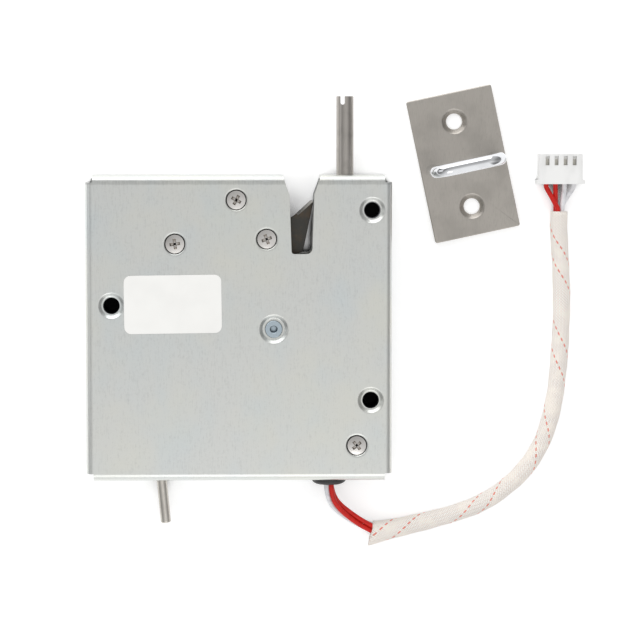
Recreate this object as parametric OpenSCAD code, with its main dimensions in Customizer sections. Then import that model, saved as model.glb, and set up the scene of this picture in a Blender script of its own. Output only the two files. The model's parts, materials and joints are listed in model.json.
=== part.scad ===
// Electronic cabinet lock with its strike and its lead, in millimetres.
// It lies on its back. The origin is the middle of the case's back face, and +Y is the side the strike enters.

/* [Case] */
// Width of the case
case_w = 84; // [82:0.5:90]
// Height of the case
case_h = 84; // [82:0.5:90]
// Thickness of the case
case_t = 13; // [12.8:0.1:15]
// Thickness of the cover's sheet
sheet = 1; // [0.8:0.1:1.2]
// Thickness of the base plate
base_t = 1.2; // [1:0.1:1.5]
// Outside radius of the cover's bends
bend_r = 2; // [1.6:0.1:2.4]
// How far each flange stops short of the corner
corner_relief = 2; // [1.6:0.1:3]
// Gap between the base plate and the cover's walls
plate_gap = 0.1; // [0.05:0.05:0.3]

/* [Notch] */
// Middle of the notch
notch_x = 17.25; // [16.8:0.05:17.6]
// Width of the notch's mouth at the edge of the case
mouth_w = 10.6; // [9:0.1:11.5]
// Width of the notch under its mouth
notch_top_w = 6.8; // [6.2:0.1:7.4]
// Width of the notch at its bottom
notch_low_w = 5.7; // [5:0.1:6]
// Height of the notch's bottom above the middle of the case
notch_low_y = 20.4; // [19:0.1:22]
// Height of the slanting part of the mouth
mouth_h = 5.3; // [4:0.1:6]

/* [Fixing holes] */
// Places of the three threaded pillars
pillar_at = [[36.5, 32.4], [-34.9, 6.3], [36.1, -19.8]];
// Radius of the pillars
pillar_r = 3.1; // [2.8:0.1:3.2]
// Radius of the pillars' threaded hole
thread_r = 2.1; // [1.6:0.1:2.2]
// Radius of the hole in the cover over a pillar
pillar_hole_r = 2.3; // [2:0.1:2.5]
// Radius of the pressed dimple round that hole
dimple_r = 3.35; // [3:0.05:3.6]
// Depth of the pressed dimples
dimple_depth = 0.8; // [0.4:0.1:1]

/* [Cover screws] */
// Places of the screws: claw pivot, top, left and lower right
screw_at = [[7.6, 24.5], [-0.7, 35.2], [-17.5, 23.2], [32.3, -32.3]];
// How far each screw's recess is turned
screw_turn = [20, 62, 8, 40];
// Radius of the screws' thread
screw_r = 1.5; // [1.2:0.1:1.6]
// Radius of the screws' heads
head_r = 2.82; // [2.6:0.02:3]
// Length of the screws
screw_len = 8; // [6:0.5:9]
// Radius of the posts
post_r = 2.75; // [2.6:0.05:2.9]

/* [Claw] */
// Thickness of the claw and of the pawl
lever_t = 3; // [2.5:0.1:3.2]
// Direction of the claw's mouth
claw_turn = 42.4; // [40:0.1:45]
// Length of the claw's long prong
prong_len = 16.37; // [15:0.05:16.6]
// Width of the claw's mouth
claw_gap = 4.36; // [4:0.02:4.6]
// How far the mouth's edge lies below the pivot's line
mouth_drop = 0.46; // [0.3:0.02:0.6]
// Distance of the strike's bar from the pivot
bar_u = 9.8; // [9.6:0.1:10.2]
// Radius of the claw's tooth
tooth_r = 11; // [10.6:0.1:11.2]
// Radius of the claw's low rim
rim_r = 8.7; // [8.4:0.1:8.8]

/* [Pawl] */
// Pivot of the pawl
pawl_at = [9.5, -0.2];
// Radius of the pivot post's shoulder
pawl_post_r = 3; // [2.8:0.1:3.1]
// Radius of the post's riveted end
rivet_r = 2.35; // [2:0.05:2.5]
// Radius of the dimple round that end
rivet_dimple_r = 3.75; // [3.4:0.05:4]
// Radius of the hole down the middle of the post
rivet_hole_r = 1; // [0.6:0.1:1.2]
// Clearance of a turning or sliding fit
run_gap = 0.05; // [0.02:0.01:0.08]

/* [Release rod] */
// Where the rod hooks into the pawl
rod_hook = [-25.1, -6];
// Radius of the rod
release_r = 1.42; // [1.2:0.02:1.5]
// How far the rod stands out of the case
release_out = 12.8; // [8:0.1:16]
// How far the rod leans from upright
release_lean = 5.5; // [4.5:0.1:6.5]

/* [Push rod] */
// Middle of the push rod
push_x = 29.2; // [29:0.1:29.4]
// Radius of the push rod
push_r = 2.375; // [2.2:0.025:2.4]
// How far the rod stands out of the case
push_out = 21.5; // [18:0.5:24]
// How far the rod moves in
push_travel = 20; // [16:0.5:20]
// Length of the rod inside the case
push_in = 44; // [42:0.5:46]
// Width of the slot in the rod's end
tip_slot_w = 1.25; // [0.8:0.05:1.6]
// Depth of that slot
tip_slot_h = 2.3; // [1.5:0.1:3]
// Wire radius of the rod's spring
push_wire = 0.35; // [0.25:0.05:0.4]

/* [Solenoid] */
// Middle of the solenoid
coil_x = -10.5; // [-11:0.1:-10]
// Width of its frame
frame_w = 15.8; // [15:0.1:16.4]
// Lower and upper end of its frame
frame_y = [-40, -13];
// Thickness of its frame
frame_t = 1.3; // [1:0.1:1.4]

/* [Switch] */
// Left and right edge of the switch
switch_x = [9.2, 28.8];
// Lower and upper face of the switch
switch_y = [-36.5, -26.7];
// Room left between the switch and the cover
switch_room = 4.4; // [4.2:0.1:5]
// Gap between the switch's lever and the pushed rod
lever_gap = 0.2; // [0.1:0.05:0.5]

/* [Grommet] */
// Middle of the grommet
grommet_x = 24.8; // [24.5:0.1:25]
// Radius of the grommet's collar
grommet_r = 4.85; // [4.5:0.05:4.9]
// Radius of the hole in the case's wall
grommet_hole_r = 3.95; // [3.6:0.05:4.1]
// How far the collar stands out of the case
grommet_out = 1.7; // [1.2:0.1:2.2]

/* [Label] */
// Width and height of the label
label_size = [26.7, 16];
// Middle of the label
label_at = [-18.1, 6.7];
// Thickness of the label
label_t = 0.12; // [0.08:0.02:0.2]

/* [Lead] */
// Diameter of one wire
wire_d = 1.35; // [1.2:0.05:1.4]
// Diameter of the braided sleeve
sleeve_d = 5; // [4.6:0.1:5.2]
// Distance between the connector's terminals
pitch = 2.5; // [2.5:0.01:2.54]
// Width of the connector's body
plug_w = 12; // [11.6:0.1:12.6]
// Length of the connector's body
plug_l = 7.2; // [6.5:0.1:8]
// Thickness of the connector
plug_t = 5.7; // [5:0.1:6]

/* [Strike] */
// Middle of the strike's plate
strike_at = [62.2, 44.8];
// How far the strike is turned
strike_turn = 12; // [0:1:20]
// Width of the plate
strike_w = 24; // [22:0.5:28]
// Length of the plate
strike_l = 40; // [38:0.5:46]
// Thickness of the plate
strike_t = 2; // [1.5:0.1:3]
// Radius of the loop's rod
loop_r = 1.75; // [1.5:0.05:1.8]
// Distance between the middles of the loop's legs
loop_w = 17.5; // [17:0.1:18]
// Height of the loop above the plate
loop_h = 24; // [22:0.5:28]
// Distance between the plate's two holes
strike_pitch = 24; // [22:0.5:28]
// Radius of the plate's holes
strike_hole_r = 2.2; // [1.8:0.1:2.4]

/* [Hidden] */
$fn = 48;
base_top = base_t;
cover_under = case_t - sheet;
mid_z = case_t / 2;
lever_z = mid_z - lever_t / 2;
coil_half = mid_z - base_top - frame_t;
plunger_r = 0.75 * coil_half;
switch_t = cover_under - base_top - switch_room;
wall_in_y = case_h / 2 - sheet;
fit_gap = 0.02;
lip_gap = 0.2;
claw_at = screw_at[0];
// The cover's cups for the screws, and the thread's clearance
cup_depth = 0.8;
cup_r = 3.25;
cup_lip = 0.22;
// The dimples' walls curve over this far inside and outside their radius
dish_in = 0.85;
dish_out = 0.4;
dish_steps = 6;
head_sink = 0.25;
thread_gap = 0.05;
spigot_r = 1.8;
post_top = cover_under - cup_depth;
dimple_top = case_t - dimple_depth - sheet;
// The pawl's tooth engages by turning this far, and clears it at rest
nose_gap = 0.15;
// Angle, about the claw's pivot, of the tooth's face when the claw is closed
closed_turn = -64;
strut_angle = 210.7;
tooth_face = strut_angle - closed_turn - claw_turn;
arm_r = 3;
claw_bevel = 0.7;
tail_r = 3.2;
hub_r = 5.4;
slot_play = 0.5;
pin_r = 0.9;
release_z = 3.2;
release_slot_r = 1.75;
clip_t = 1.2;
clip_r = 4;
clip_y = wall_in_y - plate_gap - clip_t;
push_low_y = wall_in_y + sheet - push_in;
guide_t = 1.5;
guide_y = 0;
core_l = 8;
frame_low = frame_y[0];
frame_high = frame_y[1];
flange_t = 1;
tube_r = plunger_r + 0.75;
lever_hinge = [switch_x[0] + 2, switch_y[1] + 0.5];
lever_end_y = push_low_y - push_travel - lever_gap;
lever_reach = push_x + 1.6 - lever_hinge[0];
lever_turn = atan2(lever_end_y - lever_hinge[1], lever_reach);
blade_t = 0.4;
button_x = switch_x[0] + 7;

// Fastenings, springs and the points that they meet
pillar_spigot_r = thread_r + 0.5;
rivet_pin_r = 1.2;
guide_foot = 7;
switch_screw_r = 1;
spring_wire = 0.35;
spring_eye = [-1.5, 6.4];
claw_coil_r = post_r + spring_wire + 0.35;
claw_coil_z = lever_z + lever_t + spring_wire + 0.15;
nose_r = tooth_r + nose_gap;
hook_x = -17.5;
rivet_at = [
    [coil_x - frame_w / 2 + 1.7, (frame_low + frame_high) / 2],
    [coil_x + frame_w / 2 - 1.7, (frame_low + frame_high) / 2],
    [push_x - 3.2, guide_y - guide_foot / 2], [push_x + 3.2, guide_y - guide_foot / 2]
];
switch_screw_at = [[switch_x[0] + 3, switch_y[0] + 2.4], [switch_x[1] - 3, switch_y[0] + 2.4]];
pin_at = [coil_x, along_tail(coil_x)];
hook_at = [hook_x, along_tail(hook_x)];

// The lead's route, laid on the surface that the lock lies on
wire_angle = [135, 225, 45, 315];
wire_reach = 1.06;
near_twist = -90;
near_route = [
    [24.8, -39, 6.5], [24.8, -43.7, 6.5], [24.9, -46.5, 6.3], [25.5, -49.1, 5.6], [26.9, -51.4, 4.8],
    [28.9, -53.4, 4], [31.3, -55.1, 3.4], [33.9, -56.5, 2.9], [35.92, -57.3, 2.5], [36.92, -57.1, 2.5]
];
sleeve_route = [
    [37.1, -58, 2.5], [42.1, -57, 2.5], [50.5, -55.1, 2.5], [57.5, -53.3, 2.5], [63.8, -51.3, 2.5],
    [69.6, -48.6, 2.5], [74.7, -45, 2.5], [79.1, -40.8, 2.5], [82.6, -36, 2.5], [85.2, -30.7, 2.5],
    [86.9, -25, 2.5], [88.1, -19, 2.5], [88.8, -12.5, 2.5], [89.3, -6, 2.5], [89.6, 0.5, 2.5],
    [89.7, 7, 2.5], [89.5, 13.5, 2.5], [89.2, 20, 2.5], [88.8, 26, 2.5], [88.8, 31.7, 2.5]
];
far_x = pitch * [-1.5, -0.5, 0.5, 1.5];
far_from = [[-0.85, 0.85], [-0.85, -0.85], [0.85, 0.85], [0.85, -0.85]];
plug_x = 89;
plug_y = 39.3;
plug_lip_t = 1.1;
plug_lip = 0.75;
terminal_z = plug_t / 2;
window_w = 1.1;
window_l = 2.6;

// Points along an arc
function arc(c, r, a0, a1, n) = [for (i = [0:n]) c + r * [cos(a0 + (a1 - a0) * i / n), sin(a0 + (a1 - a0) * i / n)]];

function direction(a, b) = atan2(b[1] - a[1], b[0] - a[0]);

// Outline of a bar with round ends, wider at one end
function bar_outline(a, ra, b, rb) =
    let (d = direction(a, b))
    concat(arc(a, ra, d + 90, d + 270, 16), arc(b, rb, d - 90, d + 90, 16));

function rounded(w, h, r) = concat(
    arc([w / 2 - r, h / 2 - r], r, 0, 90, 6), arc([r - w / 2, h / 2 - r], r, 90, 180, 6),
    arc([r - w / 2, r - h / 2], r, 180, 270, 6), arc([w / 2 - r, r - h / 2], r, 270, 360, 6)
);

function turned(p, a) = [p[0] * cos(a) - p[1] * sin(a), p[0] * sin(a) + p[1] * cos(a)];

function unit(v) = v / norm(v);

function tangents(p) = [for (i = [0:len(p) - 1]) unit(p[min(i + 1, len(p) - 1)] - p[max(i - 1, 0)])];

// One side vector for each point, carried along the path without twist
function sides_of(t) = [
    for (i = 0, s = unit(cross(t[0], abs(t[0][2]) < 0.9 ? [0, 0, 1] : [1, 0, 0])); i < len(t);
        i = i + 1, s = i < len(t) ? unit(s - t[i] * (s * t[i])) : s) s
];

// A round tube along a path
module tube(path, r, n = 8) {
    t = tangents(path);
    s = sides_of(t);
    m = len(path);
    points = [for (i = [0:m - 1]) for (k = [0:n - 1])
        path[i] + r * (cos(360 * k / n) * s[i] + sin(360 * k / n) * cross(t[i], s[i]))];
    walls = [for (i = [0:m - 2]) for (k = [0:n - 1]) let (a = i * n + k, b = i * n + (k + 1) % n)
        each [[a, a + n, b + n], [a, b + n, b]]];
    ends = [[for (k = [0:n - 1]) k], [for (k = [n - 1:-1:0]) (m - 1) * n + k]];
    polyhedron(points, concat(walls, ends));
}

// Points of a coil about an axis along Y
function coil_along(x, z, r, y0, y1, turns, start) = [
    for (i = [0:12 * turns]) let (a = start + 30 * i)
        [x + r * cos(a), y0 + (y1 - y0) * i / (12 * turns), z + r * sin(a)]
];

// A rod along Y
module rod_y(x, y0, y1, z, r) {
    translate([x, y1, z])
        rotate([90, 0, 0])
            cylinder(r = r, h = y1 - y0);
}

module notch_2d() {
    edge = case_h / 2;
    low = notch_low_w / 2;
    top = notch_top_w / 2;
    translate([notch_x, 0])
        polygon(concat(
            arc([0.8 - low, notch_low_y + 0.8], 0.8, 180, 270, 5),
            arc([low - 1.6, notch_low_y + 1.6], 1.6, 270, 360, 7),
            [[top, edge - mouth_h], [mouth_w / 2, edge], [mouth_w / 2, edge + 2]],
            [[-mouth_w / 2, edge + 2], [-mouth_w / 2, edge], [-top, edge - mouth_h]]
        ));
}

// Section of one flange with its bend, standing on the wall's outer face
module flange_2d() {
    c = [bend_r, case_t - bend_r];
    polygon(concat(
        [[0, lip_gap]],
        arc(c, bend_r, 180, 90, 10),
        arc(c, bend_r - sheet, 90, 180, 8),
        [[sheet, lip_gap]]
    ));
}

module flange(across, along) {
    translate([-across / 2, along / 2 - corner_relief, 0])
        rotate([90, 0, 0])
            linear_extrude(along - 2 * corner_relief)
                flange_2d();
}

// What a pressed dimple adds under the sheet, and what it takes away
module dimple_cup(at, r, depth) {
    translate([at[0], at[1], case_t - depth - sheet])
        cylinder(r1 = r - 0.2, r2 = r + dish_out + 0.3, h = depth + sheet / 2);
}

module dimple_cut(at, r, depth, hole) {
    translate([at[0], at[1], case_t])
        rotate_extrude()
            polygon(concat(
                [[0, 0.01], [0, -depth]],
                [for (i = [0:dish_steps]) let (t = i / dish_steps)
                    [r - dish_in + (dish_in + dish_out) * t, depth * (t * t * (3 - 2 * t) - 1)]],
                [[r + dish_out, 0.01]]
            ));
    translate([at[0], at[1], 0])
        cylinder(r = hole, h = case_t);
}

module screw_cup(at) {
    translate([at[0], at[1], post_top])
        cylinder(r1 = 2.9, r2 = 3.8, h = cup_depth + sheet / 2);
}

module screw_cut(at) {
    translate([at[0], at[1], case_t - (cup_r - screw_r - 0.1)])
        cylinder(r1 = screw_r + 0.1, r2 = cup_r, h = cup_r - screw_r - 0.1 + 0.01);
    translate([at[0], at[1], case_t - cup_lip])
        cylinder(r1 = cup_r - cup_lip, r2 = cup_r + 1.2 * cup_lip, h = cup_lip + 0.01);
    translate([at[0], at[1], 0])
        cylinder(r = screw_r + 0.1, h = case_t);
}

module cover() {
    color("#c9cbc8")
    difference() {
        union() {
            translate([0, 0, cover_under])
                linear_extrude(sheet)
                    square([case_w - 2 * bend_r, case_h - 2 * bend_r], center = true);
            flange(case_w, case_h);
            rotate([0, 0, 180])
                flange(case_w, case_h);
            rotate([0, 0, 90])
                flange(case_h, case_w);
            rotate([0, 0, -90])
                flange(case_h, case_w);
            for (at = pillar_at)
                dimple_cup(at, dimple_r, dimple_depth);
            for (at = screw_at)
                screw_cup(at);
            dimple_cup(pawl_at, rivet_dimple_r, dimple_depth);
        }
        translate([0, 0, -1])
            linear_extrude(case_t + 2)
                notch_2d();
        for (at = pillar_at)
            dimple_cut(at, dimple_r, dimple_depth, pillar_hole_r);
        for (at = screw_at)
            screw_cut(at);
        dimple_cut(pawl_at, rivet_dimple_r, dimple_depth, rivet_r + run_gap);
        rod_y(push_x, case_h / 2 - sheet - 0.5, case_h / 2 + 1, mid_z, push_r + 2 * run_gap);
        rod_y(grommet_x, -case_h / 2 - 1, sheet - case_h / 2 + 0.5, mid_z, grommet_hole_r);
        release_path(release_slot_r, sheet + 1.5);
    }
}

// The release rod's way through the lower wall
module release_path(r, reach) {
    y = -case_h / 2 + sheet / 2;
    x = rod_hook[0] + (rod_hook[1] - y) * tan(release_lean);
    translate([x, y, release_z])
        rotate([90, 0, release_lean])
            cylinder(r = r, h = reach, center = true);
}

module base_plate() {
    color("#b9bbb9")
    difference() {
        linear_extrude(base_t)
            square([case_w - 2 * (sheet + plate_gap), case_h - 2 * (sheet + plate_gap)], center = true);
        translate([0, 0, -1])
            linear_extrude(base_t + 2)
                notch_2d();
        for (at = concat(pillar_at, screw_at, [pawl_at]))
            translate([at[0], at[1], -1])
                cylinder(r = (at == pillar_at[0] || at == pillar_at[1] || at == pillar_at[2]) ?
                    pillar_spigot_r + fit_gap : spigot_r + fit_gap, h = base_t + 2);
        for (at = rivet_at)
            translate([at[0], at[1], -1])
                cylinder(r = rivet_pin_r + fit_gap, h = base_t + 2);
        for (at = switch_screw_at)
            translate([at[0], at[1], -1])
                cylinder(r = switch_screw_r + fit_gap, h = base_t + 2);
    }
}

module pillar(at) {
    color("#8f9296")
    translate([at[0], at[1], 0])
        difference() {
            union() {
                cylinder(r = pillar_spigot_r, h = base_top + 1);
                translate([0, 0, base_top])
                    cylinder(r = pillar_r, h = dimple_top - base_top);
            }
            translate([0, 0, -1])
                cylinder(r = thread_r, h = case_t + 2);
        }
}

module pillar_top_right() { pillar(pillar_at[0]); }
module pillar_left() { pillar(pillar_at[1]); }
module pillar_lower_right() { pillar(pillar_at[2]); }

module post(at) {
    color("#9a9da0")
    translate([at[0], at[1], 0])
        difference() {
            union() {
                cylinder(r = spigot_r, h = base_top + 1);
                translate([0, 0, base_top])
                    cylinder(r = post_r, h = post_top - base_top);
            }
            translate([0, 0, case_t - screw_len - 1])
                cylinder(r = screw_r + thread_gap, h = screw_len + 2);
        }
}

module post_claw() { post(screw_at[0]); }
module post_top() { post(screw_at[1]); }
module post_left() { post(screw_at[2]); }
module post_lower_right() { post(screw_at[3]); }

module post_pawl() {
    color("#a9b2bb")
    translate([pawl_at[0], pawl_at[1], 0])
        difference() {
            union() {
                cylinder(r = spigot_r, h = base_top + 1);
                translate([0, 0, base_top])
                    cylinder(r = pawl_post_r, h = dimple_top - base_top);
                translate([0, 0, dimple_top - 1])
                    cylinder(r = rivet_r, h = sheet + 1.4);
            }
            translate([0, 0, dimple_top - 2])
                cylinder(r = rivet_hole_r, h = 6);
        }
}

// A countersunk screw with a cross recess
module cover_screw(at, turn) {
    top = case_t - head_sink;
    head_h = head_r - screw_r;
    translate([at[0], at[1], top])
        rotate([0, 0, turn])
            difference() {
                union() {
                    translate([0, 0, -head_h])
                        cylinder(r1 = screw_r, r2 = head_r, h = head_h);
                    translate([0, 0, -screw_len])
                        cylinder(r = screw_r, h = screw_len - head_h + 0.1);
                }
                intersection() {
                    union() {
                        cube([4, 0.62, 3], center = true);
                        cube([0.62, 4, 3], center = true);
                    }
                    translate([0, 0, -1.3])
                        cylinder(r1 = 0.5, r2 = 1.75, h = 1.31);
                }
            }
}

module cover_screws() {
    color("#c4c4c0")
    for (i = [0:len(screw_at) - 1])
        cover_screw(screw_at[i], screw_turn[i]);
}

// The claw's outline, with its mouth along +X and its pivot at the origin
function claw_outline() =
    let (mid = claw_gap / 2 - mouth_drop, top = claw_gap - mouth_drop)
    concat(
        [[prong_len - 0.5, -mouth_drop - 1.1], [prong_len, -mouth_drop - 0.4], [prong_len - 0.4, -mouth_drop]],
        arc([bar_u, mid], claw_gap / 2, 270, 90, 12),
        [[bar_u + 1.3, top]],
        arc([bar_u + 1.2, top + 1], 1, -80, 60, 5),
        [[bar_u - 1.8, top + 3.3]],
        arc([0, 0], rim_r, 62, 196, 16),
        arc([0, 0], tooth_r, 209, tooth_face, 6),
        arc([0, 0], rim_r, tooth_face + 0.8, 288, 10),
        [[4.9, -9.47]]
    );

module claw() {
    color("#4b4641")
    translate([claw_at[0], claw_at[1], 0])
        difference() {
            union() {
                translate([0, 0, lever_z])
                    rotate([0, 0, claw_turn])
                        linear_extrude(lever_t)
                            polygon(claw_outline());
                translate([0, 0, base_top + 2 * run_gap])
                    cylinder(r = post_r + 1.3, h = lever_z);
            }
            translate([0, 0, -1])
                cylinder(r = post_r + run_gap, h = case_t + 2);
            rotate([0, 0, claw_turn])
                translate([bar_u + 0.9, -mouth_drop, lever_z + lever_t])
                    rotate([90, 0, 90])
                        linear_extrude(prong_len)
                            polygon([[-claw_bevel, 0.01], [0.01, 0.01], [0.01, -claw_bevel]]);
            rotate([0, 0, claw_turn])
                translate([spring_eye[0], spring_eye[1], lever_z - 1])
                    cylinder(r = spring_wire + 0.35, h = lever_t + 2);
        }
}

// Torsion spring of the claw: one leg on the top post, the other hooked into the claw
module claw_spring() {
    color("#d8d8d4")
    {
        eye = claw_at + turned(spring_eye, claw_turn);
        stop = screw_at[1] + (post_r + spring_wire + 0.05) * unit([1, -0.35]);
        start = direction(claw_at, eye) - 70;
        first = claw_at + claw_coil_r * [cos(start), sin(start)];
        last_a = start + 30 * 35;
        last = claw_at + claw_coil_r * [cos(last_a), sin(last_a)];
        tube(concat(
            [[eye[0], eye[1], lever_z + 0.6], [eye[0], eye[1], claw_coil_z - 0.5]],
            [[eye[0] * 0.9 + first[0] * 0.1, eye[1] * 0.9 + first[1] * 0.1, claw_coil_z]],
            [for (i = [0:35]) let (a = start + 30 * i)
                [claw_at[0] + claw_coil_r * cos(a), claw_at[1] + claw_coil_r * sin(a), claw_coil_z + 0.058 * i]],
            [[stop[0] * 0.5 + last[0] * 0.5, stop[1] * 0.5 + last[1] * 0.5, claw_coil_z + 2.05]],
            [[stop[0], stop[1], claw_coil_z + 2.05], [stop[0] + 0.8, stop[1] + 2.3, claw_coil_z + 2.05]]
        ), spring_wire, 6);
    }
}

// A point given by its radius and angle about the claw's pivot
function about_claw(r, a) = claw_at + r * [cos(a), sin(a)];

function along_tail(x) = pawl_at[1] + (x - pawl_at[0]) * (rod_hook[1] - pawl_at[1]) / (rod_hook[0] - pawl_at[0]);

module slot_cut(at, r, play) {
    lean = direction(rod_hook, pawl_at);
    translate([at[0], at[1], 0])
        rotate([0, 0, lean])
            translate([0, 0, -1])
                linear_extrude(case_t + 2)
                    polygon(bar_outline([-play, 0], r, [play, 0], r));
}

module pawl() {
    color("#55504a")
    difference() {
        union() {
            translate([0, 0, lever_z])
                linear_extrude(lever_t) {
                    polygon(bar_outline(pawl_at, hub_r, about_claw(nose_r + 3.6, 236), arm_r));
                    polygon(bar_outline(pawl_at, hub_r - 1, rod_hook, tail_r));
                    polygon([
                        about_claw(nose_r, strut_angle + 0.6), about_claw(nose_r, strut_angle + 14),
                        about_claw(nose_r + 3, strut_angle + 30), about_claw(nose_r + 5.5, strut_angle + 26),
                        about_claw(nose_r + 4.4, strut_angle + 3), about_claw(nose_r + 2.8, strut_angle + 0.6)
                    ]);
                }
            translate([pawl_at[0], pawl_at[1], base_top + 2 * run_gap])
                cylinder(r = pawl_post_r + 1.4, h = dimple_top - base_top - 4 * run_gap);
        }
        translate([pawl_at[0], pawl_at[1], -1])
            cylinder(r = pawl_post_r + run_gap, h = case_t + 2);
        slot_cut(rod_hook, release_r + 2 * run_gap, slot_play);
        slot_cut(pin_at, pin_r + 2 * run_gap, slot_play);
        translate([hook_at[0], hook_at[1], 0])
            cylinder(r = 2 * spring_wire, h = case_t);
    }
}

// Extension spring of the pawl, between the tail and the left post
module pawl_spring() {
    color("#d8d8d4")
    {
        r = 1.55;
        z = 9.7;
        low = 3.6;
        high = 16.4;
        at = screw_at[2];
        reach = post_r + spring_wire + 0.05;
        tube(concat(
            [[hook_x, hook_at[1], lever_z + 0.6], [hook_x, hook_at[1], lever_z + lever_t + 0.1]],
            [[hook_x, hook_at[1] + 0.4, lever_z + lever_t + 0.7], [hook_x, low - 1.6, z - r + 0.6]],
            [[hook_x, low - 0.4, z - r]],
            coil_along(hook_x, z, r, low, high, 15, -90 + 30),
            [[hook_x + 0.6, high + 0.5, z - r + 0.4], [hook_x + 1.8, high + 1.8, z - r + 0.9]],
            [for (a = [-50:15:160]) [at[0] + reach * cos(a), at[1] + reach * sin(a), z - r + 1.2]]
        ), spring_wire, 6);
    }
}

// The release rod hooks up into the pawl and leans out of the lower wall
module release_rod() {
    color("#c9c3ba")
    {
        run = (rod_hook[1] + case_h / 2 + release_out) / cos(release_lean);
        translate([rod_hook[0], rod_hook[1], release_z])
            rotate([90, 0, release_lean])
                cylinder(r = release_r, h = run - 0.3);
        translate([rod_hook[0], rod_hook[1], release_z])
            rotate([90, 0, release_lean])
                translate([0, 0, run - 0.3])
                    cylinder(r1 = release_r, r2 = release_r - 0.3, h = 0.3);
        translate([rod_hook[0], rod_hook[1], release_z])
            cylinder(r = release_r, h = lever_z + lever_t + 1.2 - release_z);
        translate([rod_hook[0], rod_hook[1], release_z])
            sphere(r = release_r);
    }
}

module solenoid_frame() {
    color("#a8aaa8")
    difference() {
        translate([coil_x - frame_w / 2, frame_low, base_top])
            difference() {
                cube([frame_w, frame_high - frame_low, dimple_top - base_top - 0.4]);
                translate([-1, frame_t, frame_t])
                    cube([frame_w + 2, frame_high - frame_low - 2 * frame_t, case_t]);
            }
        rod_y(coil_x, frame_high - frame_t - 1, frame_high + 1, mid_z, plunger_r + 2 * run_gap);
        rod_y(coil_x, frame_low - 1, frame_low + frame_t + 1, mid_z, plunger_r - 1);
        for (i = [0, 1])
            translate([rivet_at[i][0], rivet_at[i][1], 0])
                cylinder(r = rivet_pin_r + fit_gap, h = case_t);
    }
}

module solenoid_core() {
    color("#8c8f92")
    union() {
        rod_y(coil_x, frame_low + frame_t, frame_low + frame_t + core_l, mid_z, plunger_r);
        rod_y(coil_x, frame_low - 0.3, frame_low + frame_t + 1, mid_z, plunger_r - 1 - fit_gap);
    }
}

// Outline of the winding's section, a bar with round ends
module stadium_y(y0, y1, half_w, half_t) {
    translate([coil_x, y1, mid_z])
        rotate([90, 0, 0])
            linear_extrude(y1 - y0)
                polygon(bar_outline([half_t - half_w, 0], half_t, [half_w - half_t, 0], half_t));
}

module bobbin() {
    color("#e7e3d6")
    difference() {
        union() {
            stadium_y(frame_low + frame_t, frame_low + frame_t + flange_t, frame_w / 2, coil_half - fit_gap);
            stadium_y(frame_high - frame_t - flange_t, frame_high - frame_t, frame_w / 2, coil_half - fit_gap);
            rod_y(coil_x, frame_low + frame_t, frame_high - frame_t, mid_z, tube_r);
        }
        rod_y(coil_x, frame_low, frame_high, mid_z, plunger_r + 2 * run_gap);
    }
}

module winding() {
    color("#8a4a2a")
    difference() {
        stadium_y(frame_low + frame_t + flange_t, frame_high - frame_t - flange_t,
            frame_w / 2 - 0.5, coil_half - 0.1);
        rod_y(coil_x, frame_low, frame_high, mid_z, tube_r);
    }
}

module plunger() {
    color("#b3b6b8")
    difference() {
        rod_y(coil_x, frame_low + frame_t + core_l + 2.2, pin_at[1] + 2.8, mid_z, plunger_r);
        translate([coil_x - plunger_r - 1, pin_at[1] - 5.4, lever_z - 0.2])
            cube([2 * plunger_r + 2, 10, lever_t + 0.4]);
        translate([pin_at[0], pin_at[1], 0])
            cylinder(r = pin_r + fit_gap, h = case_t);
    }
}

module plunger_pin() {
    color("#d0d0cc")
    translate([pin_at[0], pin_at[1], mid_z - plunger_r + 0.2])
        cylinder(r = pin_r, h = 2 * plunger_r - 0.4);
}

module push_rod() {
    color("#8d8a86")
    difference() {
        union() {
            rod_y(push_x, push_low_y + 0.5, case_h / 2 + push_out, mid_z, push_r);
            translate([push_x, push_low_y + 0.5, mid_z])
                rotate([90, 0, 0])
                    cylinder(r1 = push_r, r2 = push_r - 0.5, h = 0.5);
        }
        translate([push_x - 0.65, case_h / 2 + push_out - tip_slot_h + tip_slot_w / 2, 0]) {
            cylinder(r = tip_slot_w / 2, h = case_t);
            translate([-tip_slot_w / 2, 0, 0])
                cube([tip_slot_w, tip_slot_h + 1, case_t]);
        }
        difference() {
            rod_y(push_x, clip_y, clip_y + clip_t, mid_z, push_r + 1);
            rod_y(push_x, clip_y - 1, clip_y + clip_t + 1, mid_z, push_r - 0.5);
        }
    }
}

// A spring clip in the rod's groove, which the spring pushes on
module push_rod_clip() {
    color("#3d3f42")
    difference() {
        rod_y(push_x, clip_y + fit_gap, clip_y + clip_t - fit_gap, mid_z, clip_r);
        rod_y(push_x, clip_y - 1, clip_y + clip_t + 1, mid_z, push_r - 0.5 + fit_gap);
        translate([push_x - 0.9, clip_y - 1, mid_z - clip_r - 1])
            cube([1.8, clip_t + 2, clip_r]);
    }
}

module push_rod_spring() {
    color("#d8d8d4")
    tube(coil_along(push_x, mid_z, push_r + push_wire + 0.3,
        guide_y + guide_t + push_wire + 0.03, clip_y - push_wire - 0.03, 14, 0), push_wire, 6);
}

module rod_guide() {
    color("#a8aaa8")
    difference() {
        union() {
            translate([push_x - 5, guide_y - guide_foot, base_top])
                cube([10, guide_foot + guide_t, guide_t]);
            translate([push_x - 5, guide_y, base_top])
                cube([10, guide_t, dimple_top - base_top - 0.4]);
        }
        rod_y(push_x, guide_y - 1, guide_y + guide_t + 1, mid_z, push_r + 2 * run_gap);
        for (i = [2, 3])
            translate([rivet_at[i][0], rivet_at[i][1], 0])
                cylinder(r = rivet_pin_r + fit_gap, h = case_t);
    }
}

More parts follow.
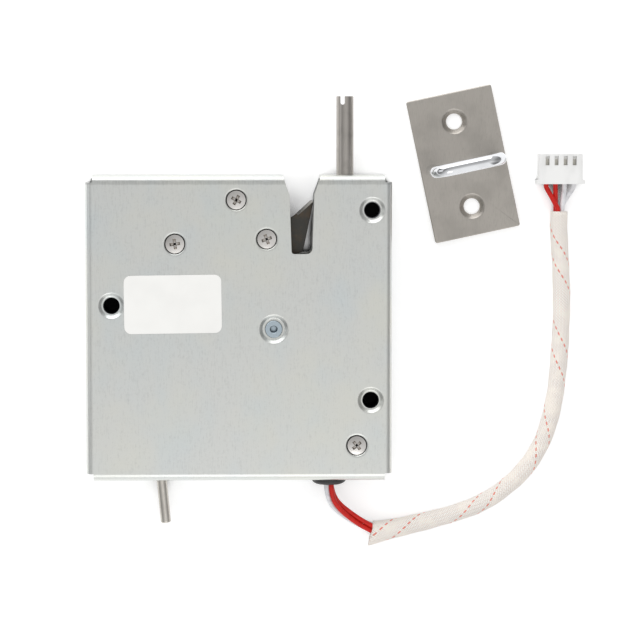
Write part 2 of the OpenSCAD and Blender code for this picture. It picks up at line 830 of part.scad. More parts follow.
module bracket_rivets() {
    color("#9a9da0")
    for (i = [0:3])
        translate([rivet_at[i][0], rivet_at[i][1], 0.05])
            cylinder(r = rivet_pin_r, h = base_top + (i < 2 ? frame_t - 0.1 : guide_t + 0.3));
}

module switch_body() {
    color("#26272a")
    difference() {
        translate([switch_x[0], switch_y[0], base_top])
            cube([switch_x[1] - switch_x[0], switch_y[1] - switch_y[0], switch_t]);
        for (at = switch_screw_at)
            translate([at[0], at[1], 0])
                cylinder(r = switch_screw_r + fit_gap, h = case_t);
        rod_y(button_x, switch_y[1] - 2, switch_y[1] + 1, base_top + switch_t / 2, 1 + run_gap);
        translate([switch_x[0] - 1, switch_y[1] - 0.8, base_top + switch_t / 2 - 2.2])
            cube([4.2, 2, 4.4]);
    }
}

module switch_terminals() {
    color("#c8b06a")
    for (x = [switch_x[0] + 2, switch_x[0] + 9.8, switch_x[1] - 2])
        translate([x - 1, switch_y[0] - 2.6, base_top + switch_t / 2 - 0.3])
            difference() {
                cube([2, 2.6, 0.6]);
                translate([1, 0.9, -1])
                    cylinder(r = 0.5, h = 3);
            }
}

module switch_button() {
    color("#d43a2c")
    rod_y(button_x, switch_y[1] - 1.2, switch_y[1] + 0.75, base_top + switch_t / 2, 1);
}

module switch_lever() {
    color("#d0d0cc")
    translate([lever_hinge[0], lever_hinge[1], base_top + switch_t / 2 - 2]) {
        rotate([0, 0, lever_turn])
            translate([0, -blade_t, 0])
                cube([lever_reach, blade_t, 4]);
        translate([0, -0.5, 0])
            cylinder(r = 0.5, h = 4);
    }
}

module switch_screws() {
    color("#b8b8b4")
    for (at = switch_screw_at)
        translate([at[0], at[1], 0.1])
            difference() {
                union() {
                    cylinder(r = switch_screw_r, h = base_top + switch_t);
                    translate([0, 0, base_top + switch_t - 0.1 + 0.01])
                        cylinder(r = 1.9, h = 1.2);
                }
                translate([0, 0, base_top + switch_t + 1])
                    cube([4, 0.5, 0.8], center = true);
            }
}

module grommet() {
    color("#1b1b1d")
    translate([grommet_x, -case_h / 2, mid_z])
        rotate([90, 0, 0])
            rotate_extrude()
                polygon([
                    [wire_d * 1.45, -sheet - 1.3], [grommet_r - 0.8, -sheet - 1.3], [grommet_r - 0.3, -sheet - fit_gap],
                    [grommet_hole_r - fit_gap, -sheet - fit_gap], [grommet_hole_r - fit_gap, fit_gap],
                    [grommet_r, fit_gap], [grommet_r, grommet_out - 0.5], [grommet_r - 0.5, grommet_out],
                    [wire_d * 1.45, grommet_out]
                ]);
}

module label() {
    color("#f4f3ef")
    translate([label_at[0], label_at[1], case_t])
        rotate([0, 0, 0.7])
            linear_extrude(label_t)
                polygon(rounded(label_size[0], label_size[1], 1.9));
}

// One of the wires between the grommet and the sleeve
module near_wire(k, tone) {
    color(tone)
    {
        t = tangents(near_route);
        s = sides_of(t);
        last = len(near_route) - 1;
        tube([for (i = [0:last])
            let (
                j = i < last - 1 ? i : last,
                a = wire_angle[k] + near_twist * min(1, max(0, i - 1) / (last - 2))
            )
            near_route[i] + wire_reach * (s[j] * cos(a) + cross(s[j], t[j]) * sin(a))], wire_d / 2, 8);
    }
}

module near_wire_red_1() { near_wire(0, "#d63a2e"); }
module near_wire_red_2() { near_wire(1, "#d63a2e"); }
module near_wire_white_1() { near_wire(2, "#f2efe9"); }
module near_wire_white_2() { near_wire(3, "#f2efe9"); }

// The braided sleeve, as a plain tube
module sleeve() {
    color("#f3ede8")
    tube(sleeve_route, sleeve_d / 2, 12);
}

// One of the wires between the sleeve and the connector
module far_wire(k, tone) {
    color(tone)
    {
        end = sleeve_route[len(sleeve_route) - 1];
        start = [end[0] + far_from[k][0], end[2] + far_from[k][1]];
        tube([
            [start[0], end[1], start[1]], [start[0], end[1] + 0.8, start[1]],
            [start[0] * 0.5 + (plug_x + far_x[k]) * 0.5, end[1] + 3.8, start[1] * 0.5 + terminal_z * 0.5],
            [plug_x + far_x[k], plug_y - 1, terminal_z], [plug_x + far_x[k], plug_y, terminal_z]
        ], wire_d / 2, 8);
    }
}

module far_wire_red_1() { far_wire(0, "#d63a2e"); }
module far_wire_red_2() { far_wire(1, "#d63a2e"); }
module far_wire_white_1() { far_wire(2, "#f2efe9"); }
module far_wire_white_2() { far_wire(3, "#f2efe9"); }

module connector() {
    color("#f1f1ee")
    difference() {
        union() {
            translate([plug_x - plug_w / 2, plug_y, 0])
                cube([plug_w, plug_l + plug_lip_t, plug_t]);
            translate([plug_x - plug_w / 2 - plug_lip, plug_y, 0])
                cube([plug_w + 2 * plug_lip, plug_lip_t, plug_t]);
        }
        for (x = far_x) {
            translate([plug_x + x - 0.85, plug_y + 0.8, terminal_z - 0.85])
                cube([1.7, plug_l + 2, 1.7]);
            translate([plug_x + x - window_w / 2, plug_y + plug_lip_t + plug_l - window_l - 0.5, terminal_z])
                cube([window_w, window_l, plug_t]);
        }
    }
}

module connector_terminals() {
    color("#cfc9b8")
    for (x = far_x)
        translate([plug_x + x - 0.85, plug_y + 0.8, terminal_z - 0.85])
            difference() {
                cube([1.7, plug_l - 1.2, 1.7]);
                translate([0.35, 1, 0.35])
                    cube([1, plug_l, 1]);
            }
}

module strike_frame() {
    translate([strike_at[0], strike_at[1], 0])
        rotate([0, 0, strike_turn])
            children();
}

module strike_plate() {
    color("#c8c4bc")
    strike_frame()
        difference() {
            linear_extrude(strike_t)
                polygon(rounded(strike_w, strike_l, 0.6));
            for (s = [-1, 1]) {
                translate([0, s * strike_pitch / 2, -1])
                    cylinder(r = strike_hole_r, h = strike_t + 2);
                translate([0, s * strike_pitch / 2, strike_t - 1.2])
                    cylinder(r1 = strike_hole_r, r2 = strike_hole_r + 1.3, h = 1.21);
                translate([s * loop_w / 2, 0, -1])
                    cylinder(r = loop_r - 0.3 + fit_gap, h = strike_t + 2);
            }
        }
}

module strike_loop() {
    color("#dfe1e2")
    strike_frame() {
        bend = 4;
        top = strike_t + loop_h - loop_r;
        for (s = [-1, 1]) {
            translate([s * loop_w / 2, 0, 0])
                cylinder(r = loop_r - 0.3, h = strike_t + 1);
            translate([s * loop_w / 2, 0, strike_t])
                cylinder(r = loop_r, h = top - bend - strike_t);
            translate([s * (loop_w / 2 - bend), 0, top - bend])
                rotate([90, 0, s < 0 ? 180 : 0])
                    rotate_extrude(angle = 90)
                        translate([bend, 0])
                            circle(r = loop_r);
        }
        translate([bend - loop_w / 2, 0, top])
            rotate([0, 90, 0])
                cylinder(r = loop_r, h = loop_w - 2 * bend);
    }
}

base_plate();
cover();
pillar_top_right();
pillar_left();
pillar_lower_right();
post_claw();
post_top();
post_left();
post_lower_right();
post_pawl();
cover_screws();
claw();
claw_spring();
pawl();
pawl_spring();
release_rod();
solenoid_frame();
solenoid_core();
bobbin();
winding();
plunger();
plunger_pin();
push_rod();
push_rod_clip();
push_rod_spring();
rod_guide();
bracket_rivets();
switch_body();
switch_terminals();
switch_button();
switch_lever();
switch_screws();
grommet();
label();
near_wire_red_1();
near_wire_red_2();
near_wire_white_1();
near_wire_white_2();
sleeve();
far_wire_red_1();
far_wire_red_2();
far_wire_white_1();
far_wire_white_2();
connector();
connector_terminals();
strike_plate();
strike_loop();
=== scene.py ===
import json
import math

import bmesh
import bpy
from bpy.props import FloatProperty, FloatVectorProperty, IntProperty, PointerProperty
from mathutils import Matrix, Vector

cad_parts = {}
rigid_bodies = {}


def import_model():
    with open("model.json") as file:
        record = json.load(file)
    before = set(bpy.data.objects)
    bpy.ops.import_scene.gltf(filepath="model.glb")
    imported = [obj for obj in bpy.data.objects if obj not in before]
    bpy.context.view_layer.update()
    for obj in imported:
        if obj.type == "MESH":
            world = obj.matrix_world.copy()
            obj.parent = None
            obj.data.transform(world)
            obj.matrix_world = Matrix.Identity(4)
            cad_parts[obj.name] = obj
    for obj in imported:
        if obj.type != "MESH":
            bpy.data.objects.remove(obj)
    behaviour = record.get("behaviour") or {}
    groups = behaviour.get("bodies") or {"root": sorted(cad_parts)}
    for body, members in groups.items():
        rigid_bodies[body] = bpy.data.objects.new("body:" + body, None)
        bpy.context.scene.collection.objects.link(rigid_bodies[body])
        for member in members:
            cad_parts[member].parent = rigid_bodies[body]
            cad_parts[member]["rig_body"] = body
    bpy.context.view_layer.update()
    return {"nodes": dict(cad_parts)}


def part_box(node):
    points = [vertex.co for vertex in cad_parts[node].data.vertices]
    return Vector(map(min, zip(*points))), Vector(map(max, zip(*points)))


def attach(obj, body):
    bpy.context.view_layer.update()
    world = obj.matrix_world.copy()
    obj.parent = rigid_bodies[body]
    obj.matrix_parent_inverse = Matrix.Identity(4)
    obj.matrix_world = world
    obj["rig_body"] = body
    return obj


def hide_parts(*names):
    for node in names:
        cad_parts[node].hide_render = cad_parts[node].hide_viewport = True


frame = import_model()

bl_info = {
    "name": "Cabinet Lock Dresser",
    "version": (1, 0, 0),
    "blender": (4, 5, 0),
    "location": "View3D > Sidebar > Cabinet Lock",
    "description": "Finishes and fine shapes for an electronic cabinet lock with its lead and strike",
    "category": "Object",
}

MM = 0.001

# The lead's route, from inside the grommet to the sleeve, in millimetres
NEAR_ROUTE = [
    (24.8, -39.0, 6.5), (24.8, -43.7, 6.5), (25.2, -46.4, 6.3), (26.2, -48.8, 5.6), (27.9, -50.8, 4.8),
    (30.1, -52.6, 4.0), (32.6, -54.3, 3.4), (35.3, -55.8, 2.9), (38.6, -57.1, 2.6),
]
# The sleeve's route, round the right side of the case
SLEEVE_ROUTE = [
    (37.1, -58.0, 2.5), (42.1, -57.0, 2.5), (50.5, -55.1, 2.5), (57.5, -53.3, 2.5), (63.8, -51.3, 2.5),
    (69.6, -48.6, 2.5), (74.7, -45.0, 2.5), (79.1, -40.8, 2.5), (82.6, -36.0, 2.5), (85.2, -30.7, 2.5),
    (86.9, -25.0, 2.5), (88.1, -19.0, 2.5), (88.8, -12.5, 2.5), (89.3, -6.0, 2.5), (89.6, 0.5, 2.5),
    (89.7, 7.0, 2.5), (89.5, 13.5, 2.5), (89.2, 20.0, 2.5), (88.8, 26.0, 2.5), (88.8, 31.7, 2.5),
]
# Each wire: its name, its angle round the bundle at the grommet in degrees, and its terminal's place
WIRES = [("red_1", 135, -3.75), ("red_2", 225, -1.25), ("white_1", 45, 1.25), ("white_2", 315, 3.75)]
# The bundle's radius, and its turns in degrees: to the sleeve's mouth, and through the sleeve
BUNDLE_R, MOUTH_TURN, SLEEVE_TURN = 0.97, -90.0, 90.0
PLUG_X, PLUG_Y, PLUG_Z = 89.0, 39.3, 2.85
# How far the domed grommet stands out of the flange, and its bore's and neck's radii, in millimetres
GROMMET_DOME, GROMMET_BORE_R, GROMMET_NECK_R = 1.75, 2.05, 3.6
WIRE_SIDES, SLEEVE_SIDES, GROMMET_SIDES = 14, 40, 72
# A painted shade line lies beside the cover's top bend, at this Y in millimetres
COVER_SHADE_LINE_Y = 40.1
# The ground edge of the claw slopes: its faces look upwards by a share between these
GROUND_EDGE_SLOPE = (0.3, 0.95)
# Merging of a CAD solid's points in metres; angles in degrees up to which faces count as flat,
# from which an edge is sharp, and from which it is rounded
SAME_PLACE, FLAT_ANGLE, SHARP_ANGLE, BEVEL_ANGLE = 2e-7, 0.4, 32.0, 38.0
# The camera's place and what it looks at, in millimetres
CAMERA_AT, CAMERA_AIM = (-1.1, 59.7, 800.0), (22.55, 1.4, 0.0)
# Each lamp: its name, place and aim in metres, width, height, power in watts and colour
LAMPS = [
    ("Top softbox", (-0.18, 0.55, 0.24), (0.0, 0.02, 0.0), 0.9, 0.46, 2.3, (1.0, 1.0, 1.0)),
    ("Bottom softbox", (0.02, -0.28, 0.36), (0.01, -0.03, 0.0), 0.2, 0.2, 0.17, (1.0, 0.995, 0.98)),
    ("Left fill", (-0.60, 0.05, 0.30), (0.0, 0.0, 0.0), 0.35, 0.35, 0.30, (0.98, 0.99, 1.0)),
]
# Half of the floor's width, in metres
FLOOR_HALF = 6.0
# The screws' places on the cover and the turn of each recess, in degrees
SCREWS = [((7.6, 24.5), 20), ((-0.7, 35.2), 62), ((-17.5, 23.2), 8), ((32.3, -32.3), 40)]


class LockSizes(bpy.types.PropertyGroup):
    wire_d: FloatProperty(name="Wire diameter", description="Outside of one insulated wire",
                          default=1.35 * MM, min=0.0005, unit="LENGTH")
    sleeve_d: FloatProperty(name="Sleeve diameter", description="Outside of the braided sleeve",
                            default=5.0 * MM, min=0.002, unit="LENGTH")
    sleeve_wall: FloatProperty(name="Sleeve wall", description="Thickness of the braid",
                               default=0.32 * MM, min=0.0001, unit="LENGTH")
    mouth_flare: FloatProperty(name="Mouth flare", description="How far the cut end of the sleeve spreads",
                               default=0.95 * MM, unit="LENGTH")
    mouth_slant: FloatProperty(name="Mouth slant",
                               description="How far one side of the cut end reaches back",
                               default=2.7 * MM, unit="LENGTH")
    yarns: IntProperty(name="Yarns", description="Yarns of the braid in each direction", default=32, min=8)
    braid_turn: FloatProperty(name="Braid turn", description="Length in which a yarn goes once round",
                              default=25.5 * MM, min=0.005, unit="LENGTH")
    screw_head_r: FloatProperty(name="Screw head radius", description="Radius of a cover screw's head",
                                default=2.74 * MM, min=0.001, unit="LENGTH")
    screw_head_h: FloatProperty(name="Screw head height", description="Height of a cover screw's head",
                                default=1.5 * MM, min=0.0005, unit="LENGTH")
    screw_dome: FloatProperty(name="Screw dome", description="How far a cover screw's head is domed",
                              default=0.3 * MM, min=0.00005, unit="LENGTH")
    edge_round: FloatProperty(name="Edge rounding", description="Rounding of stamped steel edges",
                              default=0.12 * MM, min=0.00002, unit="LENGTH")


class LockColours(bpy.types.PropertyGroup):
    zinc: FloatVectorProperty(name="Zinc", description="Plated cover sheet", subtype="COLOR", size=3,
                              min=0, max=1, default=(0.72, 0.732, 0.71))
    claw: FloatVectorProperty(name="Claw", description="Hardened claw steel", subtype="COLOR", size=3,
                              min=0, max=1, default=(0.068, 0.066, 0.060))
    wire_red: FloatVectorProperty(name="Red wire", description="Red insulation", subtype="COLOR", size=3,
                                  min=0, max=1, default=(0.66, 0.016, 0.010))
    wire_white: FloatVectorProperty(name="White wire", description="White insulation", subtype="COLOR",
                                    size=3, min=0, max=1, default=(0.84, 0.84, 0.86))
    sleeve: FloatVectorProperty(name="Sleeve", description="Glass-fibre braid", subtype="COLOR", size=3,
                                min=0, max=1, default=(1.0, 0.965, 0.925))
    tracer: FloatVectorProperty(name="Tracer", description="Tracer yarns of the braid", subtype="COLOR",
                                size=3, min=0, max=1, default=(0.80, 0.13, 0.07))
    nylon: FloatVectorProperty(name="Nylon", description="Connector housing", subtype="COLOR", size=3,
                               min=0, max=1, default=(0.92, 0.92, 0.91))


class LockStage(bpy.types.PropertyGroup):
    world_level: FloatProperty(name="Room light", description="Strength of the light from all round",
                               default=0.74, min=0)
    lamp_level: FloatProperty(name="Lamp light", description="Factor on all lamps", default=1.0, min=0)
    upper_dim: FloatProperty(name="Upper dimming",
                             description="What mirrors see of the room above the picture",
                             default=0.53, min=0)
    floor_lift: FloatProperty(name="Floor lift", description="How much the floor is lifted towards white",
                              default=0.42, min=0)
    lens: FloatProperty(name="Lens", description="Camera lens in millimetres", default=162.1, min=10)


def sizes():
    """The sizes that the panel shows."""
    return bpy.context.scene.lock_sizes


def colours():
    """The colours that the panel shows."""
    return bpy.context.scene.lock_colours


# Shader expressions

class Term:
    """One shader output, so that patterns are written as sums and products."""

    def __init__(self, finish, socket):
        self.finish = finish
        self.socket = socket

    def math(self, operation, *values):
        return self.finish.add("ShaderNodeMath", {"operation": operation}, dict(enumerate(values)))

    def __add__(self, other):
        return self.math("ADD", self, other)

    def __radd__(self, other):
        return self.math("ADD", other, self)

    def __sub__(self, other):
        return self.math("SUBTRACT", self, other)

    def __rsub__(self, other):
        return self.math("SUBTRACT", other, self)

    def __mul__(self, other):
        return self.math("MULTIPLY", self, other)

    def __truediv__(self, other):
        return self.math("DIVIDE", self, other)

    def __pow__(self, other):
        return self.math("POWER", self, other)

    def __abs__(self):
        return self.math("ABSOLUTE", self)

    def __lt__(self, other):
        return self.math("LESS_THAN", self, other)

    def floor(self):
        return self.math("FLOOR", self)

    def fraction(self):
        return self.math("FRACT", self)

    def wrap(self, top):
        return self.math("WRAP", self, top, 0.0)

    def sine(self):
        return self.math("SINE", self)

    def at_least(self, other):
        return self.math("MAXIMUM", self, other)

    def at_most(self, other):
        return self.math("MINIMUM", self, other)

    def ramp(self, low, high, start=0.0, end=1.0):
        """The value moved smoothly from low..high to start..end."""
        return self.finish.add("ShaderNodeMapRange", {"interpolation_type": "SMOOTHSTEP"},
                               {0: self, 1: low, 2: high, 3: start, 4: end})


class Recipe:
    """The shader nodes of one tree, written as expressions."""

    def __init__(self, tree):
        self.tree = tree
        tree.nodes.clear()

    def add(self, kind, settings=None, sockets=None, out=0):
        """A node with its settings, then its sockets, and one of its outputs."""
        node = self.tree.nodes.new(kind)
        for key, value in (settings or {}).items():
            setattr(node, key, value)
        for key, value in (sockets or {}).items():
            self.feed(node.inputs[key], value)
        return Term(self, node.outputs[out])

    def feed(self, socket, value):
        if isinstance(value, Term):
            self.tree.links.new(value.socket, socket)
        elif socket.type == "RGBA":
            socket.default_value = (*value[:3], 1.0)
        else:
            socket.default_value = value

    def mix(self, first, second, share):
        """A colour between two colours."""
        return self.add("ShaderNodeMix", {"data_type": "RGBA"}, {0: share, 6: first, 7: second}, out=2)

    def parts(self, vector):
        node = self.add("ShaderNodeSeparateXYZ", sockets={0: vector})
        outputs = node.socket.node.outputs
        return [Term(self, outputs[i]) for i in range(3)]

    def rays(self, *kinds):
        """Which kind of ray looks at the surface or the room."""
        outputs = self.add("ShaderNodeLightPath").socket.node.outputs
        return [Term(self, outputs["Is %s Ray" % kind]) for kind in kinds]

    def ends(self, kind, surface):
        self.tree.links.new(surface.socket, self.tree.nodes.new(kind).inputs["Surface"])


class Finish(Recipe):
    """One material, made of nodes."""

    def __init__(self, name):
        self.material = bpy.data.materials.new(name)
        self.material.use_nodes = True
        super().__init__(self.material.node_tree)

    def place(self):
        """Object coordinates in millimetres."""
        place = self.add("ShaderNodeTexCoord", out=3)
        return self.add("ShaderNodeVectorMath", {"operation": "SCALE"}, {0: place, 3: 1000.0})

    def stretched(self, vector, x, y, z):
        return self.add("ShaderNodeVectorMath", {"operation": "MULTIPLY"}, {0: vector, 1: (x, y, z)})

    def noise(self, vector, size, detail=2.0, rough=0.5):
        """Soft random cells of about this size in millimetres, from 0 to 1."""
        return self.add("ShaderNodeTexNoise", {"noise_dimensions": "3D"},
                        {"Vector": vector, "Scale": 1.0 / size, "Detail": detail, "Roughness": rough})

    def painted_hollow_shade(self, colour, dark, reach):
        """The colour with painted shade: darker where the surface is closed in within this reach in
        millimetres.
        """
        open_air = self.add("ShaderNodeAmbientOcclusion", {"samples": 8}, {"Distance": reach * MM}, out=1)
        return self.mix(dark, colour, open_air.ramp(0.35, 0.85))

    def shine(self, colour, roughness, metallic, height, depth, coat=0.0, grazing=0.5, glow=0.0):
        """The surface from its colour, gloss and height pattern, whose depth is in millimetres."""
        sockets = {"Base Color": colour, "Roughness": roughness, "Metallic": metallic,
                   "Specular IOR Level": grazing, "Coat Weight": coat, "Coat Roughness": 0.12,
                   "Emission Color": colour, "Emission Strength": glow}
        sockets["Normal"] = self.add("ShaderNodeBump", sockets={
            "Strength": 1.0, "Distance": depth * MM, "Height": height})
        self.ends("ShaderNodeOutputMaterial", self.add("ShaderNodeBsdfPrincipled", sockets=sockets))
        return self.material


def plated_sheet(name, colour, mottle=1.0, roughness=0.36, shade_line_y=None):
    """Bright zinc plating on rolled sheet: clouds, rolling lines, spangle, painted shade in its hollows,
    and a painted shade line at Y = shade_line_y.
    """
    f = Finish(name)
    at = f.place()
    clouds = f.noise(at, 22.0, 3.0, 0.55)
    tint = f.noise(f.stretched(at, 1.0, 0.7, 1.0), 13.0, 2.0)
    rolled = f.noise(f.stretched(at, 1.0, 0.12, 1.0), 0.28, 3.0, 0.6)
    pits = f.noise(at, 0.22, 2.0, 0.7)
    blue = tuple(c * k for c, k in zip(colour, (0.90, 0.98, 1.05)))
    warm = tuple(c * k for c, k in zip(colour, (1.06, 1.03, 0.93)))
    base = f.mix(colour, blue, tint.ramp(0.40, 0.80, 0.0, 0.5 * mottle))
    base = f.mix(base, warm, clouds.ramp(0.40, 0.80, 0.0, 0.5 * mottle))
    spangle = f.noise(at, 0.8, 4.0, 0.75)
    shade = 0.62 + clouds * 0.08 + rolled * 0.34 + spangle * 0.34
    # Painted shade: a dark line beside the top bend, mottled by the spangle
    if shade_line_y:
        away = abs(f.parts(at)[1] - shade_line_y + f.noise(at, 2.2) * 0.5)
        shade = shade - away.ramp(0.15, 0.75, 0.26, 0.0) * spangle.ramp(0.2, 0.7, 0.5, 1.0)
    base = f.mix(base, (0.0, 0.0, 0.0), 1.0 - shade.at_most(1.0))
    # Painted shade in the sheet's hollows, from ambient occlusion
    base = f.painted_hollow_shade(base, tuple(c * 0.25 for c in colour), 0.9)
    rough = roughness - 0.06 + clouds * 0.06 + rolled * 0.08
    height = rolled * 0.6 + pits * 0.4
    return f.shine(base, rough, 1.0, height, depth=0.012)


def bare_steel(name, colour, roughness=0.35, across=(1.0, 1.0, 0.08), depth=0.01, stain=0.3):
    """Drawn or ground steel: lines along the work, slight stains."""
    f = Finish(name)
    at = f.place()
    lines = f.noise(f.stretched(at, *across), 0.35, 3.0, 0.65)
    stains = f.noise(at, 6.0, 3.0, 0.6)
    darker = tuple(c * 0.62 for c in colour)
    base = f.mix(colour, darker, stains.ramp(0.48, 0.75, 0.0, stain))
    base = f.mix(base, tuple(min(1.0, c * 1.25) for c in colour), lines.ramp(0.5, 0.8, 0.0, 0.5))
    rough = roughness + lines * 0.12 - 0.06
    return f.shine(base, rough, 1.0, lines, depth=depth)


def black_oxide(name, colour):
    """Hardened steel, dark and oily: fine polish lines, brown and grey patches."""
    f = Finish(name)
    at = f.place()
    lines = f.noise(f.stretched(at, 1.0, 1.0, 0.1), 0.3, 3.0, 0.6)
    patch = f.noise(at, 3.2, 3.0, 0.6)
    brown = tuple(c * k for c, k in zip(colour, (1.45, 1.2, 1.0)))
    base = f.mix(colour, brown, patch.ramp(0.4, 0.7))
    base = f.mix(base, tuple(c * 2.6 for c in colour), lines.ramp(0.58, 0.85, 0.0, 0.5))
    return f.shine(base, 0.30 + patch * 0.16, 0.85, lines * 0.7 + patch * 0.3, depth=0.015)


def plating(name, colour, roughness=0.2, size=0.5, depth=0.006, satin=0.0, recess_shade=None):
    """Nickel or chrome plating, with a faint orange peel, where satin a brushed direction, and, where
    recess_shade is given, painted shade in its hollows.
    """
    f = Finish(name)
    at = f.place()
    peel = f.noise(at, size, 2.0)
    cloud = f.noise(at, 7.0, 2.0)
    base = f.mix(colour, tuple(c * 0.86 for c in colour), cloud.ramp(0.4, 0.75))
    if satin:
        brushed = f.noise(f.stretched(at, 1.0, 0.1, 1.0), 0.16, 2.0, 0.7)
        base = f.mix(base, tuple(c * 0.72 for c in colour), brushed.ramp(0.45, 0.8, 0.0, satin))
        peel = peel * 0.4 + brushed * 0.6
    if recess_shade:
        base = f.painted_hollow_shade(base, recess_shade, 1.2)
    return f.shine(base, roughness + cloud * 0.06, 1.0, peel, depth=depth)


def moulded(name, colour, roughness, grain=0.35, depth=0.01):
    """Moulded plastic or rubber, with a fine grain and faint flow marks."""
    f = Finish(name)
    at = f.place()
    fine = f.noise(at, grain, 3.0, 0.6)
    flow = f.noise(f.stretched(at, 1.0, 0.5, 1.0), 4.0, 2.0)
    base = f.mix(colour, tuple(c * 0.88 for c in colour), flow.ramp(0.35, 0.75))
    return f.shine(base, roughness - 0.05 + fine * 0.1, 0.0, fine, depth=depth)


def insulation(name, colour):
    """Soft glossy wire insulation, with extrusion lines along the wire and slight handling marks."""
    f = Finish(name)
    around = f.parts(f.add("ShaderNodeUVMap", {"uv_map": "run"}))[0]
    at = f.place()
    marks = f.noise(at, 1.6, 3.0, 0.6)
    lines = (around * 94.2).sine() * 0.5 + 0.5
    base = f.mix(colour, tuple(c * 0.80 for c in colour), marks.ramp(0.42, 0.75))
    return f.shine(base, 0.34 + marks * 0.14, 0.0, lines * 0.3 + marks * 0.7, depth=0.02, grazing=0.3)


def braid(name, colour, tracer, yarns, lay):
    """A two-over two-under braid of flat yarns with two red tracers, on the sleeve's own map."""
    f = Finish(name)
    around, along = f.parts(f.add("ShaderNodeUVMap", {"uv_map": "run"}))[:2]
    left = (around + along / lay) * float(yarns)
    right = (around - along / lay) * float(yarns)
    left_yarn, right_yarn = left.floor(), right.floor()
    left_over = (left_yarn + right_yarn).wrap(4.0) < 1.5
    left_round = 1.0 - abs(left.fraction() * 2.0 - 1.0) ** 2.0
    right_round = 1.0 - abs(right.fraction() * 2.0 - 1.0) ** 2.0
    height = left_over * left_round + (1.0 - left_over) * right_round
    at = f.place()
    hairs = f.noise(at, 0.09, 2.0, 0.7)
    cloud = f.noise(at, 5.0, 3.0, 0.6)
    groove = height.ramp(0.05, 0.9)
    base = f.mix(tuple(c * k for c, k in zip(colour, (0.56, 0.48, 0.42))), colour, groove)
    base = f.mix(base, tuple(c * k for c, k in zip(colour, (0.80, 0.76, 0.72))), left_over * 0.45)
    worn = tuple(c * k for c, k in zip(colour, (0.97, 0.93, 0.88)))
    base = f.mix(base, worn, cloud.ramp(0.45, 0.7, 0.0, 0.8))
    base = f.mix(base, (1.0, 1.0, 1.0), hairs.ramp(0.55, 0.8, 0.0, 0.25))
    seat = right_yarn.wrap(float(yarns))
    first = abs(seat - 6.0) < 0.5
    second = abs(seat - (yarns - 4.0)) < 0.5
    red = (first + second) * (1.0 - left_over) * right_round.ramp(0.0, 0.4)
    base = f.mix(base, tracer, red * (0.62 + hairs * 0.4))
    # The braid also glows faintly in its own colour: painted light
    return f.shine(base, 0.82, 0.0, height * 0.8 + hairs * 0.2, depth=0.15, grazing=0.2, glow=0.13)


def wound_wire(name, colour):
    """Enamelled copper in close turns along Y."""
    f = Finish(name)
    at = f.place()
    turn = (f.parts(at)[1] / 0.22).fraction()
    height = 1.0 - abs(turn * 2.0 - 1.0) ** 2.0
    cloud = f.noise(at, 3.0, 2.0)
    base = f.mix(tuple(c * 0.35 for c in colour), colour, height.ramp(0.0, 0.5))
    base = f.mix(base, tuple(c * 0.8 for c in colour), cloud.ramp(0.4, 0.7))
    return f.shine(base, 0.28, 0.9, height, depth=0.08, coat=0.4)


def paper(name, colour):
    """Smooth coated label paper."""
    f = Finish(name)
    at = f.place()
    fibre = f.noise(at, 0.3, 3.0, 0.6)
    cloud = f.noise(at, 9.0, 2.0)
    base = f.mix(colour, tuple(c * 0.965 for c in colour), cloud.ramp(0.35, 0.7))
    return f.shine(base, 0.42 + fibre * 0.1, 0.0, fibre, depth=0.006)


# Shapes

def smooth_route(points, step=0.45):
    """Even steps on a smooth line through the given points, in millimetres."""
    points = [Vector(p) for p in points]
    fine = []
    for i in range(len(points) - 1):
        before, start = points[max(i - 1, 0)], points[i]
        end, after = points[i + 1], points[min(i + 2, len(points) - 1)]
        for j in range(30):
            t = j / 30.0
            fine.append(0.5 * ((2 * start) + (end - before) * t
                               + (2 * before - 5 * start + 4 * end - after) * t * t
                               + (3 * start - before - 3 * end + after) * t ** 3))
    fine.append(points[-1])
    length = sum((b - a).length for a, b in zip(fine, fine[1:]))
    count = max(2, round(length / step))
    even, walked, i = [fine[0]], 0.0, 0
    for k in range(1, count):
        goal = length * k / count
        while walked + (fine[i + 1] - fine[i]).length < goal:
            walked += (fine[i + 1] - fine[i]).length
            i += 1
        part = (goal - walked) / (fine[i + 1] - fine[i]).length
        even.append(fine[i].lerp(fine[i + 1], part))
    even.append(fine[-1])
    return even


def bearings(path):
    """The direction at each point of a path, with two sides that are carried along without twist."""
    last = len(path) - 1
    heads = [(path[min(i + 1, last)] - path[max(i - 1, 0)]).normalized() for i in range(last + 1)]
    side = heads[0].cross(Vector((0, 0, 1))).normalized()
    frames = []
    for head in heads:
        side = (side - head * side.dot(head)).normalized()
        frames.append((head, side, side.cross(head)))
    return frames


def route_length(path):
    return sum((b - a).length for a, b in zip(path, path[1:]))


def link_new(name, data):
    """A new object in the scene."""
    made = bpy.data.objects.new(name, data)
    bpy.context.scene.collection.objects.link(made)
    return made


def make_piece(name, vertices, faces, material, uvs=None):
    """A mesh piece from points in millimetres, that rides on the case."""
    mesh = bpy.data.meshes.new(name)
    mesh.from_pydata([tuple(c * MM for c in v) for v in vertices], [], faces)
    if uvs is not None:
        layer = mesh.uv_layers.new(name="run")
        for loop, uv in zip(layer.data, uvs):
            loop.uv = uv
    mesh.materials.append(material)
    mesh.shade_smooth()
    mesh.update()
    piece = link_new(name, mesh)
    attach(piece, "case")
    return piece


